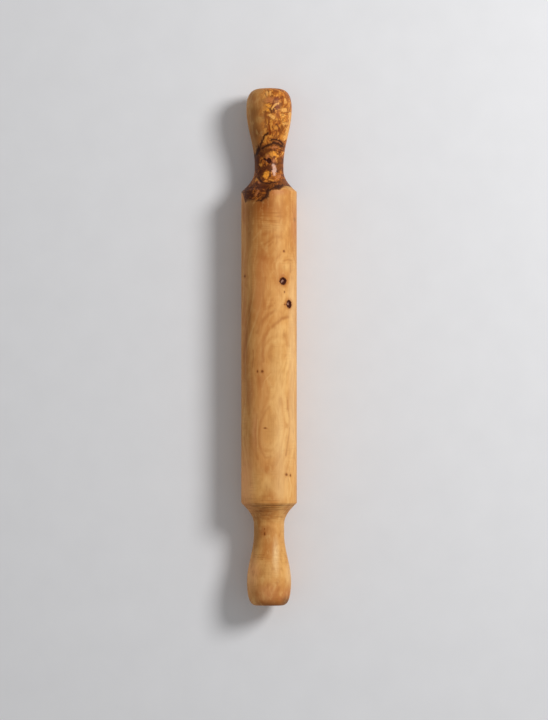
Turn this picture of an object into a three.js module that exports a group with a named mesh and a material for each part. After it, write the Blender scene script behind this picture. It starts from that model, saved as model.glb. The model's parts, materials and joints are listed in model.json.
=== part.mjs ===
// A turned olive wood rolling pin with revolving handles, in millimetres, lying on a table with +Z up.
// The pin's axis runs along X. The origin is on the table, under the middle of the pin's length.
// The barrel and both handles are turned from one blank. A steel axle joins the handles, and the
// barrel runs on it in two flanged bushes.

import * as THREE from "three";

// Barrel
const BARREL_DIAMETER = 43;
const BARREL_LENGTH = 241; // between the two rims, where the cylinder ends
const WOOD_FACETS = 48;

// Handles, which differ a little from end to end, as hand turning leaves them
const RIGHT_END = {
  side: "right",
  reach: 80, // from the barrel's rim to the end of the handle beyond it
  chamferLength: 2.4, // the barrel's own bevel between its rim and its end face
  chamferDepth: 2.8,
  endFlatDiameter: 14, // the flat that is left where the lathe's centre was cut off
  knobDiameter: 35.2,
  knobFromEnd: 15.5, // from the handle's end to its thickest place
  neckDiameter: 22.4,
  neckLength: 4, // the straight stretch
  coveLength: 14, // the sweep from the neck out to the foot
};
const LEFT_END = {
  side: "left",
  reach: 79,
  chamferLength: 1.8,
  chamferDepth: 2.0,
  endFlatDiameter: 20,
  knobDiameter: 34,
  knobFromEnd: 18.5,
  neckDiameter: 23.4,
  neckLength: 7,
  coveLength: 14.5,
};
const CROWN_FULLNESS = 0.68; // of the curve over a knob's end, where 0.55 is round and 1 is square
const TAPER_EASE = 0.36; // how far the wave between knob and neck keeps its direction, as a share of its length
const CURVE_STEPS = 8; // straight steps along each sweep of a handle's outline

// Axle and what it carries
const AXLE_DIAMETER = 10;
const THREAD_DIAMETER = 8;
const THREAD_LENGTH = 18;
const THREAD_LEAD_IN = 1;
const BUSH_DIAMETER = 16;
const BUSH_LENGTH = 18;
const BUSH_FLANGE_DIAMETER = 24;
const BUSH_FLANGE_THICKNESS = 2;
const WASHER_DIAMETER = 22;
const WASHER_THICKNESS = 1.2;
const INSERT_DIAMETER = 14;
const INSERT_LENGTH = 16;
const INSERT_BARBS = 3;
const INSERT_BARB_DEPTH = 0.7;
const DRILL_POINT_ANGLE = 118; // degrees, at the bottom of a handle's blind hole
const DRILL_RUN_ON = 3; // how far the blind hole goes past the axle's tip
const HARDWARE_FACETS = 32;

// Clearances
const FOOT_GAP = 0.3; // between the barrel's end face and a handle's foot
const END_FLOAT = 0.2; // between a bush's flange and the washer that it runs against
const RUNNING_CLEARANCE = 0.1; // on the radius, where something turns
const SEAT_CLEARANCE = 0.15; // on the radius and at the face, where something is pressed in
const BORE_CLEARANCE = 0.75; // on the radius, between the axle and the barrel's bore

const BARREL_RADIUS = BARREL_DIAMETER / 2;
const AXLE_RADIUS = AXLE_DIAMETER / 2;
const THREAD_RADIUS = THREAD_DIAMETER / 2;
const INSERT_RADIUS = INSERT_DIAMETER / 2;

// Places along the axis, outwards from a handle's foot
const WASHER_INNER_FACE = END_FLOAT - FOOT_GAP;
const WASHER_OUTER_FACE = WASHER_INNER_FACE + WASHER_THICKNESS;
const WASHER_RECESS_DEPTH = WASHER_OUTER_FACE + SEAT_CLEARANCE;
const INSERT_INNER_FACE = WASHER_RECESS_DEPTH + SEAT_CLEARANCE;
const INSERT_SEAT_DEPTH = INSERT_INNER_FACE + INSERT_LENGTH + SEAT_CLEARANCE;
const AXLE_SHOULDER = INSERT_INNER_FACE - SEAT_CLEARANCE;
const AXLE_TIP = AXLE_SHOULDER + THREAD_LENGTH;

const OLIVE_WOOD = { color: 0xbf8a4e, roughness: 0.5, metalness: 0 };
const OLIVE_BURL = { color: 0x9c6430, roughness: 0.45, metalness: 0 };
const STEEL = { color: 0xb9bcc0, roughness: 0.3, metalness: 1 };
const BRASS = { color: 0xb79346, roughness: 0.35, metalness: 1 };
const ACETAL = { color: 0xe9e6dc, roughness: 0.55, metalness: 0 };

// A solid of revolution from [radius, height] pairs, with a flat facet square to X and to Z.
function turned(name, outline, facets, finish) {
  const points = outline.map(([radius, height]) => new THREE.Vector2(radius, height));
  const geometry = new THREE.LatheGeometry(points, facets, Math.PI / facets);
  const mesh = new THREE.Mesh(geometry, new THREE.MeshStandardMaterial(finish));
  mesh.name = name;
  return mesh;
}

// A ring's outline from its outer side, closed back to its start along a plain bore.
function bored(outerSide, boreRadius) {
  const top = outerSide[outerSide.length - 1][1];
  const bottom = outerSide[0][1];
  return [[boreRadius, bottom], ...outerSide, [boreRadius, top], [boreRadius, bottom]];
}

// Where the barrel's end face lies, outwards from the middle of the barrel.
function endFaceOf(end) {
  return BARREL_LENGTH / 2 + end.chamferLength;
}

// The barrel: a cylinder with bevelled rims, bored for the axle and counterbored for a bush at each end.
function barrel() {
  const boreRadius = AXLE_RADIUS + BORE_CLEARANCE;
  const seatRadius = BUSH_DIAMETER / 2 + SEAT_CLEARANCE;
  const recessRadius = BUSH_FLANGE_DIAMETER / 2 + SEAT_CLEARANCE;
  const recessDepth = BUSH_FLANGE_THICKNESS + SEAT_CLEARANCE;
  const seatDepth = BUSH_LENGTH + SEAT_CLEARANCE;

  // One end from the bore out to the rim, at positive heights
  const endOutline = (end) => {
    const face = endFaceOf(end);
    return [
      [boreRadius, face - seatDepth],
      [seatRadius, face - seatDepth],
      [seatRadius, face - recessDepth],
      [recessRadius, face - recessDepth],
      [recessRadius, face],
      [BARREL_RADIUS - end.chamferDepth, face],
      [BARREL_RADIUS, BARREL_LENGTH / 2],
    ];
  };
  const leftSide = endOutline(LEFT_END).map(([radius, height]) => [radius, -height]);
  const rightSide = endOutline(RIGHT_END).reverse();
  return turned("barrel", [...leftSide, ...rightSide, leftSide[0]], WOOD_FACETS, OLIVE_WOOD);
}

// The axle: a plain rod with a shoulder at each end and a thinner stretch that screws into the handle.
function axle() {
  const endOutline = (end) => {
    const foot = endFaceOf(end) + FOOT_GAP;
    const tip = foot + AXLE_TIP;
    return [
      [0, tip],
      [THREAD_RADIUS - THREAD_LEAD_IN, tip],
      [THREAD_RADIUS, tip - THREAD_LEAD_IN],
      [THREAD_RADIUS, foot + AXLE_SHOULDER],
      [AXLE_RADIUS, foot + AXLE_SHOULDER],
    ];
  };
  const leftSide = endOutline(LEFT_END).map(([radius, height]) => [radius, -height]);
  const rightSide = endOutline(RIGHT_END).reverse();
  return turned("axle", [...leftSide, ...rightSide], HARDWARE_FACETS, STEEL);
}

// The handle's outer side as a curve, from the middle of its end face down to the rim of its foot.
function handleCurve(end, length) {
  const knobRadius = end.knobDiameter / 2;
  const neckRadius = end.neckDiameter / 2;
  const flatRadius = end.endFlatDiameter / 2;
  const footRadius = BARREL_RADIUS - end.chamferDepth;
  const knobHeight = length - end.knobFromEnd;
  const neckTop = end.coveLength + end.neckLength;
  const crownReach = end.knobFromEnd * CROWN_FULLNESS;
  const crownSpread = (knobRadius - flatRadius) * CROWN_FULLNESS;
  const taperReach = (knobHeight - neckTop) * TAPER_EASE;

  const curve = new THREE.Path();
  curve.moveTo(0, length);
  curve.lineTo(flatRadius, length);
  curve.bezierCurveTo(
    flatRadius + crownSpread, length,
    knobRadius, knobHeight + crownReach,
    knobRadius, knobHeight,
  );
  curve.bezierCurveTo(
    knobRadius, knobHeight - taperReach,
    neckRadius, neckTop + taperReach,
    neckRadius, neckTop,
  );
  curve.lineTo(neckRadius, end.coveLength);
  curve.quadraticCurveTo(neckRadius, end.coveLength / 2, footRadius, 0);
  return curve;
}

// A handle, standing on its foot: knob, neck and cove, with a blind hole for the washer, insert and axle.
function handle(end) {
  const length = end.reach - end.chamferLength - FOOT_GAP;
  const washerSeatRadius = WASHER_DIAMETER / 2 + SEAT_CLEARANCE;
  const insertSeatRadius = INSERT_RADIUS + SEAT_CLEARANCE;
  const holeRadius = THREAD_RADIUS + RUNNING_CLEARANCE;
  const holeDepth = Math.max(AXLE_TIP, INSERT_SEAT_DEPTH) + DRILL_RUN_ON;
  const pointDepth = holeRadius / Math.tan(THREE.MathUtils.degToRad(DRILL_POINT_ANGLE / 2));

  const outside = handleCurve(end, length)
    .getPoints(CURVE_STEPS)
    .map((point) => [point.x, point.y]);
  const hole = [
    [washerSeatRadius, 0],
    [washerSeatRadius, WASHER_RECESS_DEPTH],
    [insertSeatRadius, WASHER_RECESS_DEPTH],
    [insertSeatRadius, INSERT_SEAT_DEPTH],
    [holeRadius, INSERT_SEAT_DEPTH],
    [holeRadius, holeDepth],
    [0, holeDepth + pointDepth],
  ];
  const finish = end === RIGHT_END ? OLIVE_BURL : OLIVE_WOOD;
  return turned(`${end.side}_handle`, [...outside, ...hole].reverse(), WOOD_FACETS, finish);
}

// A flanged bush, pressed into the barrel with its flange flush with the barrel's end face at height 0.
function bush(end) {
  const bodyRadius = BUSH_DIAMETER / 2;
  const flangeRadius = BUSH_FLANGE_DIAMETER / 2;
  const outerSide = [
    [bodyRadius, -BUSH_LENGTH],
    [bodyRadius, -BUSH_FLANGE_THICKNESS],
    [flangeRadius, -BUSH_FLANGE_THICKNESS],
    [flangeRadius, 0],
  ];
  const outline = bored(outerSide, AXLE_RADIUS + RUNNING_CLEARANCE);
  return turned(`${end.side}_bush`, outline, HARDWARE_FACETS, ACETAL);
}

// A thrust washer, let into the handle's foot, that runs against the bush's flange.
function thrustWasher(end) {
  const radius = WASHER_DIAMETER / 2;
  const outerSide = [[radius, WASHER_INNER_FACE], [radius, WASHER_OUTER_FACE]];
  const outline = bored(outerSide, AXLE_RADIUS + RUNNING_CLEARANCE);
  return turned(`${end.side}_thrust_washer`, outline, HARDWARE_FACETS, STEEL);
}

// A threaded insert, barbed outside so that it holds in the wood, which the axle's end screws into.
function threadedInsert(end) {
  const barbPitch = INSERT_LENGTH / INSERT_BARBS;
  const outerSide = [];
  for (let barb = 0; barb < INSERT_BARBS; barb += 1) {
    const start = INSERT_INNER_FACE + barb * barbPitch;
    outerSide.push([INSERT_RADIUS, start], [INSERT_RADIUS - INSERT_BARB_DEPTH, start + barbPitch]);
  }
  const outline = bored(outerSide, THREAD_RADIUS + RUNNING_CLEARANCE);
  return turned(`${end.side}_threaded_insert`, outline, HARDWARE_FACETS, BRASS);
}

// Everything at one end of the pin. Its heights run outwards, from the barrel's end face.
function endAssembly(end) {
  const onFoot = new THREE.Group();
  onFoot.position.y = FOOT_GAP;
  onFoot.add(handle(end), thrustWasher(end), threadedInsert(end));

  const atFace = new THREE.Group();
  atFace.position.y = endFaceOf(end);
  atFace.add(bush(end), onFoot);
  return atFace;
}

// Built standing on end, about the Y axis, and then laid down along X on the table.
const rightEnd = endAssembly(RIGHT_END);
const leftEnd = new THREE.Group();
leftEnd.rotation.x = Math.PI;
leftEnd.add(endAssembly(LEFT_END));

const pin = new THREE.Group();
pin.add(barrel(), axle(), rightEnd, leftEnd);
pin.rotation.z = -Math.PI / 2;
pin.position.x = (LEFT_END.reach - RIGHT_END.reach) / 2;
pin.position.z = BARREL_RADIUS * Math.cos(Math.PI / WOOD_FACETS); // the lowest facet lies on the table

const rollingPin = new THREE.Group();
rollingPin.add(pin);

export default rollingPin;
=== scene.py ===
"""Looks of a turned olive wood rolling pin, fitted to its CAD frame.

The frame is in metres. Sizes of the wood are in millimetres and are scaled as each mesh is made. The
front is the side that the photograph shows, which faces up here. A place on the wood is given as seen
from there: along the pin's axis towards the burl, and across it towards the right.
"""

import json
import math
from functools import reduce
from typing import NamedTuple

import bpy
from mathutils import Matrix, Vector


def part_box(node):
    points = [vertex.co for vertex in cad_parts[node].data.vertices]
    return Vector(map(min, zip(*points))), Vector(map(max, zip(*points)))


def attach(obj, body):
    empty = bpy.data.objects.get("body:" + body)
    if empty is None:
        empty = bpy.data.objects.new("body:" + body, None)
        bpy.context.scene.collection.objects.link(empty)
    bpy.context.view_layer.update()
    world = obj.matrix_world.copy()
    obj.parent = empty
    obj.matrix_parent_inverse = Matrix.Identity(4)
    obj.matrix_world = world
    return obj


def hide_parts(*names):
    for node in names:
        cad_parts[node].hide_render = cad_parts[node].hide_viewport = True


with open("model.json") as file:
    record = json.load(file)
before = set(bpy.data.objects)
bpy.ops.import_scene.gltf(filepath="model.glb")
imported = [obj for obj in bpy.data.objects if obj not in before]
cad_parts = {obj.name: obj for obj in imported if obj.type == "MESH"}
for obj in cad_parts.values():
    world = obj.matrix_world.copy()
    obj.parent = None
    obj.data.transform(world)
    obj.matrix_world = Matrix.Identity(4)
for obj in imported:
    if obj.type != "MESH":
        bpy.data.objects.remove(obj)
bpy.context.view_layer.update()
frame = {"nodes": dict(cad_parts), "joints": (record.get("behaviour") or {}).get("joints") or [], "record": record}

MM = 0.001
AXIS_HEIGHT = frame["joints"][0]["pos_m"][2] / MM


# Shapes

BARREL_RADIUS = 21.5
RIM_ROUNDING = 0.7
FOOT_ROUNDING = 0.06
LIP_REACH = 0.18  # of the lip round a handle's foot, which narrows the running gap that shows
LIP_WIDTH = 2.0
CROWN_FULLNESS = 0.68  # of the curve over a knob's end, where 0.55 is round and 1 is square
TAPER_EASE = 0.36  # how far the wave between knob and neck keeps its direction, as a share of its length


class EndShape(NamedTuple):
    """One end of the pin: the barrel's bevel there, and the handle beyond it."""

    chamfer_length: float
    chamfer_depth: float
    flat_radius: float
    knob_radius: float
    knob_from_end: float
    neck_radius: float
    neck_length: float
    cove_length: float


RIGHT_END = EndShape(
    chamfer_length=2.4,
    chamfer_depth=2.8,
    flat_radius=7.0,
    knob_radius=17.6,
    knob_from_end=15.5,
    neck_radius=11.2,
    neck_length=4.0,
    cove_length=14.0,
)
LEFT_END = EndShape(
    chamfer_length=1.8,
    chamfer_depth=2.0,
    flat_radius=10.0,
    knob_radius=17.0,
    knob_from_end=18.5,
    neck_radius=11.7,
    neck_length=7.0,
    cove_length=14.5,
)

# Seats for the hardware, as (radius, depth from the face) steps from the widest to the narrowest
BUSH_SEAT = [(12.15, 2.15), (8.15, 18.15)]
AXLE_BORE_RADIUS = 5.75
HANDLE_SEAT = [(11.15, 1.25), (7.15, 17.55), (4.1, 22.25)]
DRILL_POINT_DEPTH = 2.46

FACET_ANGLE = 3.0  # degrees round the axis between two lines of vertices
FINE_ANGLE = 0.75  # the same near a hollow
SHARP_ANGLE = 40.0  # degrees by which two faces bend where the edge between them is sharp
BARREL_STEP = 4.0
FINE_STEP = 0.3  # the same near a knot
FINE_REACH_ALONG = 1.6  # how far the fine steps go, in half lengths of the knot
FINE_REACH_ACROSS = 1.8  # how far the fine angles go, in half widths of the hollow
CURVE_STEPS = 40
FILLET_STEPS = 4
SKIN = 0.01  # slack for rings that lie just on the radius from which hollows are cut
HOLLOW_MIDDLE = 0.5  # how deep a hollow's middle is, as a share of its depth
HOLLOW_TRENCH = 1.5  # how much that share grows towards its edge


class Hollow(NamedTuple):
    """A knot or hole in the wood, with a trench round a higher middle."""

    along: float
    across: float
    half_length: float
    half_width: float
    depth: float  # the trench reaches two thirds of it


KNOTS = [
    Hollow(49.8, 10.8, 2.9, 2.6, 0.7),
    Hollow(32.3, 15.4, 3.2, 2.0, 0.6),
]
BURL_HOLES = [Hollow(143.5, -0.5, 1.7, 1.9, 0.8)]


def span(node):
    """A node's two ends along the pin's axis."""
    low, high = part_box(node)
    return low.x / MM, high.x / MM


def bezier(points, steps):
    """Places along a Bezier curve, without its first one."""
    places = []
    degree = len(points) - 1
    for step in range(1, steps + 1):
        share = step / steps
        pairs = []
        for power, point in enumerate(points):
            weight = math.comb(degree, power) * share**power * (1 - share) ** (degree - power)
            pairs.append((weight, point))
        places.append(tuple(sum(weight * point[axis] for weight, point in pairs) for axis in (0, 1)))
    return places


def rounded(before, corner, after, radius):
    """A corner of an outline, rounded off."""
    corner = Vector(corner)
    start = corner + (Vector(before) - corner).normalized() * radius
    end = corner + (Vector(after) - corner).normalized() * radius
    return [tuple(start), *bezier([start, corner, end], FILLET_STEPS)]


def graded(low, high, step, fine_step, fine_ranges):
    """Stops from low to high, closer together inside the given ranges."""
    edges = sorted({low, high, *(edge for fine_range in fine_ranges for edge in fine_range)})
    stops = [low]
    for start, end in zip(edges, edges[1:]):
        middle = (start + end) / 2
        fine = any(first <= middle <= last for first, last in fine_ranges)
        count = max(1, math.ceil((end - start) / (fine_step if fine else step)))
        stops += [start + (end - start) * part / count for part in range(1, count + 1)]
    return stops


def handle_side(end, length):
    """A handle's outer side as (height over its foot, radius), from the middle of its end to its foot."""
    foot_radius = BARREL_RADIUS - end.chamfer_depth
    knob_height = length - end.knob_from_end
    neck_top = end.cove_length + end.neck_length
    crown_reach = end.knob_from_end * CROWN_FULLNESS
    crown_spread = (end.knob_radius - end.flat_radius) * CROWN_FULLNESS
    taper_reach = (knob_height - neck_top) * TAPER_EASE

    side = [(length, 0.0), (length, end.flat_radius / 2), (length, end.flat_radius)]
    crown = [
        (length, end.flat_radius),
        (length, end.flat_radius + crown_spread),
        (knob_height + crown_reach, end.knob_radius),
        (knob_height, end.knob_radius),
    ]
    side += bezier(crown, CURVE_STEPS)
    taper = [
        (knob_height, end.knob_radius),
        (knob_height - taper_reach, end.knob_radius),
        (neck_top + taper_reach, end.neck_radius),
        (neck_top, end.neck_radius),
    ]
    side += bezier(taper, CURVE_STEPS)
    neck = [(neck_top, end.neck_radius), (end.cove_length, end.neck_radius)]
    side += bezier(neck, max(2, round(end.neck_length)))
    lip_corner = (-LIP_REACH, foot_radius)
    cove = [(end.cove_length, end.neck_radius), (end.cove_length / 2, end.neck_radius), lip_corner]
    side += bezier(cove, CURVE_STEPS)[:-1]
    lip_inside = foot_radius - LIP_WIDTH
    side += rounded(side[-1], lip_corner, (-LIP_REACH, 0), FOOT_ROUNDING)
    return [*side, (-LIP_REACH, lip_inside), (0, lip_inside)]


def seat_steps(steps):
    """A stepped hole as (depth, radius) corners, from its mouth inwards."""
    corners = []
    depth = 0.0
    for radius, next_depth in steps:
        corners += [(depth, radius), (next_depth, radius)]
        depth = next_depth
    return corners


def handle_outline(end, length):
    """A handle's whole outline as (height over its foot, radius), from its end to its drilled hole."""
    hole = seat_steps(HANDLE_SEAT)
    point = (HANDLE_SEAT[-1][1] + DRILL_POINT_DEPTH, 0.0)
    return [*handle_side(end, length), *hole, point]


def barrel_end(end, face):
    """The barrel's outline at one end as (place outwards, radius), from its bore to its rim."""
    foot = (face, BARREL_RADIUS - end.chamfer_depth)
    rim = (face - end.chamfer_length, BARREL_RADIUS)
    seat = [(face - depth, radius) for depth, radius in seat_steps(BUSH_SEAT)]
    bore = (seat[-1][0], AXLE_BORE_RADIUS)
    inner = [bore, *reversed(seat)]
    return [
        *inner,
        *rounded(seat[0], foot, rim, FOOT_ROUNDING),
        *rounded(foot, rim, (0, BARREL_RADIUS), RIM_ROUNDING),
    ]


def barrel_outline(faces):
    """The barrel's closed outline: along its outer side from right to left, and back along its bore."""
    left_face, right_face = faces
    right = barrel_end(RIGHT_END, right_face)
    left = [(-place, radius) for place, radius in reversed(barrel_end(LEFT_END, -left_face))]
    near_knots = []
    for knot in KNOTS:
        reach = FINE_REACH_ALONG * knot.half_length
        near_knots.append((knot.along - reach, knot.along + reach))
    stops = graded(left[0][0], right[-1][0], BARREL_STEP, FINE_STEP, near_knots)
    side = [(place, BARREL_RADIUS) for place in reversed(stops[1:-1])]
    return [*right, *side, *left, right[0]]


def angles_near(hollows, radius):
    """Angles all the way round, closer together where the hollows are."""
    ranges = []
    for hollow in hollows:
        reach = FINE_REACH_ACROSS * hollow.half_width
        edges = (hollow.across - reach, hollow.across + reach)
        ranges.append(tuple(math.degrees(math.asin(max(-1, min(1, edge / radius)))) for edge in edges))
    return [math.radians(angle) for angle in graded(-180, 180, FACET_ANGLE, FINE_ANGLE, ranges)]


def depth_at(along, across, hollows):
    """How deep the hollows are at a place on the front of the wood."""
    depth = 0.0
    for hollow in hollows:
        long_share = (along - hollow.along) / hollow.half_length
        wide_share = (across - hollow.across) / hollow.half_width
        reach = math.hypot(long_share, wide_share)
        if reach < 1:
            depth += hollow.depth * (1 - reach**2) * (HOLLOW_MIDDLE + HOLLOW_TRENCH * reach**2)
    return depth


def turned_rings(outline, turns, hollows, hollow_radius):
    """The vertices of a solid of revolution, and the ring of them at each place of its outline."""
    vertices = []
    rings = []
    for along, radius in outline:
        ring = []
        for angle in turns if radius > 0 else turns[:1]:
            across = radius * math.sin(angle)
            depth = 0.0
            if math.cos(angle) > 0 and radius > hollow_radius:
                depth = depth_at(along, across, hollows)
            out = radius - depth
            back = -out * math.sin(angle)
            height = AXIS_HEIGHT + out * math.cos(angle)
            ring.append(len(vertices))
            vertices.append((along * MM, back * MM, height * MM))
        rings.append(ring)
    return vertices, rings


def joined_faces(rings, shares, count):
    """The faces between each ring and the next, and the places of their corners in the UV map."""
    faces = []
    corners = []
    for row, (ring, following) in enumerate(zip(rings, rings[1:])):
        for column in range(count):
            right = (column + 1) % count
            u = column / count, (column + 1) / count
            v = shares[row], shares[row + 1]
            loop = [
                (ring[column % len(ring)], (u[0], v[0])),
                (following[column % len(following)], (u[0], v[1])),
                (following[right % len(following)], (u[1], v[1])),
                (ring[right % len(ring)], (u[1], v[0])),
            ]
            if len(following) == 1:
                del loop[2]
            if len(ring) == 1:
                del loop[3]
            faces.append([vertex for vertex, _ in loop])
            corners += [place for _, uv in loop for place in uv]
    return faces, corners


def revolve(name, outline, angles, hollows=(), hollow_radius=0.0):
    """A closed solid of revolution about the pin's axis, with hollows in its front."""
    lengths = [0.0]
    for start, end in zip(outline, outline[1:]):
        lengths.append(lengths[-1] + math.dist(start, end))
    shares = [length / lengths[-1] for length in lengths]
    closed = outline[0] == outline[-1]
    turns = angles[:-1]
    vertices, rings = turned_rings(outline[:-1] if closed else outline, turns, hollows, hollow_radius)
    if closed:
        rings.append(rings[0])
    faces, corners = joined_faces(rings, shares, len(turns))

    mesh = bpy.data.meshes.new(name)
    mesh.from_pydata(vertices, [], faces)
    mesh.uv_layers.new(name="OFBake").uv.foreach_set("vector", corners)
    mesh.shade_smooth()
    mesh.set_sharp_from_angle(angle=math.radians(SHARP_ANGLE))
    piece = bpy.data.objects.new(name, mesh)
    bpy.context.scene.collection.objects.link(piece)
    return piece


# Materials

def srgb(red, green, blue):
    """A colour given as it looks on a screen, 0 to 255."""
    shares = [channel / 255 for channel in (red, green, blue)]
    linear = [share / 12.92 if share <= 0.04045 else ((share + 0.055) / 1.055) ** 2.4 for share in shares]
    return (*linear, 1.0)


class Field:
    """A number, vector or colour that varies over a surface: one output in a material's node tree."""

    def __init__(self, look, socket):
        self.look = look
        self.socket = socket

    def math(self, operation, *others):
        inputs = dict(enumerate((self, *others)))
        return self.look.node("ShaderNodeMath", inputs, operation=operation)

    def __add__(self, other):
        return self.math("ADD", other)

    def __sub__(self, other):
        return self.math("SUBTRACT", other)

    def __mul__(self, other):
        return self.math("MULTIPLY", other)

    def __truediv__(self, other):
        return self.math("DIVIDE", other)

    def hump(self, centre, width):
        """A bell curve: 1 at the centre, and about a third at that width from it."""
        off = (self - centre) / width
        return (off * off * -1).math("EXPONENT")

    def rise(self, low, high, top=1.0):
        """A smooth step from 0 at low to the top value at high, which may be below low."""
        inputs = {"Value": self, "From Min": low, "From Max": high, "To Max": top}
        settings = {"interpolation_type": "SMOOTHSTEP", "clamp": False}
        return self.look.node("ShaderNodeMapRange", inputs, **settings)

    def smaller(self, other):
        return self.math("MINIMUM", other)

    def centred(self):
        """Noise, which lies around a half, moved to lie around 0."""
        return self - 0.5


class Grain(NamedTuple):
    """Noise whose marks have a length along the pin and a width across it, and that may be faded in."""

    length: float
    width: float
    detail: float = 2.0
    roughness: float = 0.5
    shift: float = 0.0
    fade: tuple = ()


class Look:
    """A material, built up from formulas."""

    def __init__(self, name):
        self.material = bpy.data.materials.new(name)
        self.material.use_nodes = True
        self.tree = self.material.node_tree
        self.tree.nodes.clear()

    def node(self, kind, inputs, output=0, **settings):
        """Adds a node, fills its inputs, by name or number, and returns one of its outputs."""
        node = self.tree.nodes.new(kind)
        for name, value in settings.items():
            setattr(node, name, value)
        for key, value in inputs.items():
            if isinstance(value, Field):
                self.tree.links.new(value.socket, node.inputs[key])
            else:
                node.inputs[key].default_value = value
        return Field(self, node.outputs[output])

    def parts(self, kind, whole):
        """The three numbers in a vector or colour."""
        outputs = self.node(kind, {0: whole}).socket.node.outputs
        return [Field(self, output) for output in outputs[:3]]

    def vector(self, x, y, z):
        return self.node("ShaderNodeCombineXYZ", {"X": x, "Y": y, "Z": z})

    def vector_math(self, operation, *values, output=0):
        return self.node("ShaderNodeVectorMath", dict(enumerate(values)), output, operation=operation)

    def dot(self, first, second):
        return self.vector_math("DOT_PRODUCT", first, second, output="Value")

    def scaled(self, vector, factor):
        return self.node("ShaderNodeVectorMath", {0: vector, "Scale": factor}, operation="SCALE")

    def moved(self, place, shift, scale):
        """A place, scaled and then shifted."""
        return self.node("ShaderNodeMapping", {"Vector": place, "Location": shift, "Scale": scale})

    def noise(self, place, size, detail=2.0, roughness=0.5, output=0):
        """Noise whose marks have about that size, in the units of the place."""
        inputs = {"Vector": place, "Scale": 1 / size, "Detail": detail, "Roughness": roughness}
        return self.node("ShaderNodeTexNoise", inputs, output)

    def grain(self, where, grain):
        sizes = (1 / grain.length, 1 / grain.width, 1 / grain.width)
        place = self.moved(where.point, (grain.shift, 0, 0), sizes)
        field = self.noise(place, 1.0, grain.detail, grain.roughness)
        return field.rise(*grain.fade) if grain.fade else field

    def rings(self, ring, width):
        """Noise that follows the growth rings, in bands about that wide, in millimetres."""
        inputs = {"W": ring / width, "Scale": 1.0, "Detail": 3.0, "Roughness": 0.6}
        return self.node("ShaderNodeTexNoise", inputs, noise_dimensions="1D")

    def cells(self, place, size, feature, output=0):
        inputs = {"Vector": place, "Scale": 1 / size}
        return self.node("ShaderNodeTexVoronoi", inputs, output, feature=feature)

    def mix(self, factor, first, second):
        """The first colour where the factor is 0, and the second where it is 1."""
        inputs = {0: factor, 6: first, 7: second}
        return self.node("ShaderNodeMix", inputs, output=2, data_type="RGBA")

    def ramp(self, factor, stops):
        """A colour that runs through the stops, given as (place, colour)."""
        field = self.node("ShaderNodeValToRGB", {"Fac": factor})
        elements = field.socket.node.color_ramp.elements
        while len(elements) < len(stops):
            elements.new(1.0)
        for element, (place, colour) in zip(elements, stops):
            element.position = place
            element.color = colour
        return field

    def bump(self, height, distance):
        """A normal that follows a height, whose full range is that many millimetres."""
        inputs = {"Height": height, "Strength": 1.0, "Distance": distance * MM}
        return self.node("ShaderNodeBump", inputs)

    def shade(self, **inputs):
        """Ends the material in one shader."""
        named = {name.replace("_", " "): value for name, value in inputs.items()}
        shader = self.node("ShaderNodeBsdfPrincipled", named)
        output = self.tree.nodes.new("ShaderNodeOutputMaterial")
        self.tree.links.new(shader.socket, output.inputs["Surface"])
        return self.material


class Places(NamedTuple):
    """Where a point of the wood lies, in millimetres from the middle of the pin's axis."""

    point: Field
    along: Field
    across: Field
    up: Field
    front: Field  # 1 on the side that faces the front, 0 behind
    flat: Field  # along, across, and a number that is 0 on the front and large behind


FRONT_FADE = (-3, 1)  # heights over the axis between which the front begins
FAR_BEHIND = 9.0


def places_in(look):
    place = look.node("ShaderNodeTexCoord", {}, output="Object")
    point = look.moved(place, (0, 0, -AXIS_HEIGHT), (1 / MM, 1 / MM, 1 / MM))
    along, back, up = look.parts("ShaderNodeSeparateXYZ", point)
    across = back * -1
    front = up.rise(*FRONT_FADE)
    behind = front * -FAR_BEHIND + FAR_BEHIND
    return Places(point, along, across, up, front, look.vector(along, across, behind))


# Straight wood

PALE_YELLOW = srgb(250, 214, 154)
PALE_HONEY = srgb(238, 190, 119)
PALE_TAN = srgb(228, 180, 106)
HONEY = srgb(222, 163, 92)
TAN = srgb(202, 137, 69)
RING_BROWN = srgb(166, 100, 42)
ORANGE_BROWN = srgb(168, 92, 32)
DEEP_ORANGE = srgb(154, 68, 10)
WARM_BROWN = srgb(116, 66, 26)
RUST_BROWN = srgb(116, 56, 8)
STREAK_BROWN = srgb(126, 68, 24)
SPECK_BROWN = srgb(104, 50, 12)
UMBER = srgb(88, 50, 26)
ROSE_BROWN = srgb(186, 112, 66)
ROSE_TAN = srgb(212, 134, 74)
ROSE_PALE = srgb(232, 160, 112)
ROSE_LIGHT = srgb(255, 184, 122)
KNOT_DARK = srgb(58, 18, 6)
# The colour of a painted highlight inside each knot
KNOT_PAINTED_GLINT = srgb(188, 140, 116)

# Growth rings. The wood that grew last lies along a ridge, which turns round the pin from end to end.
PITH_DEPTH = 60.0
RIDGE_START = -0.05
RIDGE_HALF_WIDTH = 13.0
RING_WIDTH = 2.0
RINGS_FADE_FROM = -118.0
RINGS_FADE_TO = -148.0
RINGS_LEFT = 0.25  # of their strength, past the fade
RINGS_OFF_RIDGE = 0.2  # of their strength, far from the ridge
RING_WANDER_REACH = 4.0
RING_BEND_REACH = 1.2  # in ring widths
BAND_WIDTH = 4.0
KNOT_SWELL_REACH = 2.4  # of the rings round a knot, in half sizes of the knot
KNOT_SWELL_HEIGHT = 1.6

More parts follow.
